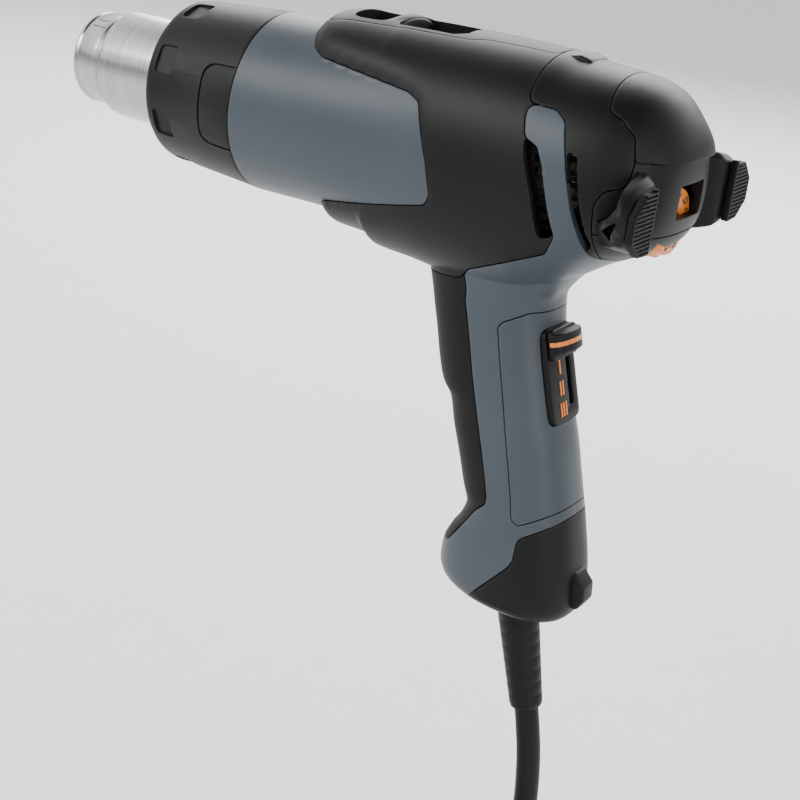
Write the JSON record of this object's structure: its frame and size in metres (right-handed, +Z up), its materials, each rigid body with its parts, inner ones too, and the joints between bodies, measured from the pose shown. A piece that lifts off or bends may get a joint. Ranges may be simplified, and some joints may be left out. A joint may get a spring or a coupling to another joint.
{
  "type": "hot air gun",
  "caption": "Corded hot-air gun with steel outlet, removable sleeve, slide switch, temperature dial, stand feet, fan and heater inside, and a coiled mains cord.",
  "frame": {"origin": "centre of the hand's grip on the pistol handle, in the gun's middle plane", "axes": "-X is the way the air leaves the outlet, parallel to the barrel axis; +Z is up with the barrel level; the gun's left side is -Y"},
  "size_m": [0.2445, 0.1791, 0.3642],
  "materials": {
    "black_plastic": "satin moulded nylon with a fine spark texture",
    "soft_black_plastic": "matte moulded nylon",
    "slate_plastic": "satin slate grey moulded nylon",
    "grip_rubber": "soft moulded grip rubber",
    "orange_plastic": "satin orange moulding",
    "brushed_steel": "turned and brushed stainless sheet",
    "steel": "bright steel",
    "dark_steel": "dark zinc plated steel",
    "mica": "pressed mica board",
    "heating_wire": "oxidised resistance wire",
    "ceramic": "unglazed steatite",
    "ivory_plastic": "glass filled heat resistant moulding",
    "magnet": "sintered ferrite",
    "copper": "enamelled copper windings on laminations",
    "brass": "stamped brass",
    "fan_plastic": "black moulding",
    "encoder_blue": "glossy component casing",
    "circuit_board": "glass fibre board with solder mask",
    "heat_sink": "extruded aluminium",
    "cord_rubber": "matte rubber cord and plug",
    "tie_plastic": "hook and loop strap"
  },
  "bodies": {
    "gun": {"shell_left": "black_plastic", "shell_right": "black_plastic", "front_shroud": "slate_plastic", "top_strip": "soft_black_plastic", "rear_housing": "black_plastic", "rear_cap": "black_plastic", "handle_left": "slate_plastic", "handle_right": "slate_plastic", "front_pad": "grip_rubber", "palm_panel": "slate_plastic", "base_cap": "black_plastic", "intake_screens": "dark_steel", "foot_left": "black_plastic", "foot_right": "black_plastic", "rubber_pads": "grip_rubber", "outlet_tube": "brushed_steel", "heat_shield": "brushed_steel", "mica_liner": "mica", "element_core": "mica", "heating_coils": "heating_wire", "element_collar": "ceramic", "thermal_sensor": "steel", "sensor_bridge": "ivory_plastic", "air_duct": "ivory_plastic", "motor_mount": "ivory_plastic", "motor_can": "dark_steel", "motor_magnets": "magnet", "motor_endcap": "ivory_plastic", "brush_holders": "brass", "motor_bearings": "steel", "dial_carrier": "fan_plastic", "dial_encoder": "encoder_blue", "dial_board": "circuit_board", "slide_track": "soft_black_plastic", "stage_marks": "orange_plastic", "slide_switch": "fan_plastic", "control_board": "circuit_board", "board_parts": "fan_plastic", "suppressor_can": "encoder_blue", "heat_sink": "heat_sink", "terminal_block": "ivory_plastic", "cord_clamp": "fan_plastic", "clamp_screws": "steel", "housing_screws": "dark_steel", "strain_boot": "cord_rubber", "cord": "cord_rubber", "cord_coil": "cord_rubber", "coil_tie": "tie_plastic", "plug_body": "cord_rubber", "plug_pins": "steel"},
    "sleeve": {"protective_sleeve": "black_plastic", "sleeve_grips": "soft_black_plastic"},
    "rotor": {"rotor_shaft": "steel", "armature": "copper", "fan": "fan_plastic"},
    "dial": {"dial_wheel": "orange_plastic", "dial_axle": "ivory_plastic"},
    "slide": {"slide_carriage": "soft_black_plastic", "slide_knob": "soft_black_plastic", "slide_line": "orange_plastic"}
  },
  "joints": [
    {"name": "sleeve_pull", "type": "slide", "parent": "gun", "child": "sleeve", "axis": [-1, 0, 0], "range_m": [0, 0.06]},
    {"name": "airflow_slide", "type": "slide", "parent": "gun", "child": "slide", "axis": [0.284, 0, -0.9588], "range_m": [0, 0.018]},
    {"name": "temperature_dial", "type": "hinge", "parent": "gun", "child": "dial", "pos_m": [0.039, 0, 0.0788], "axis": [1, 0, 0], "range_deg": [-240, 0]},
    {"name": "fan_spin", "type": "hinge", "parent": "gun", "child": "rotor", "pos_m": [-0.05, 0, 0.085], "axis": [1, 0, 0], "continuous": true}
  ]
}
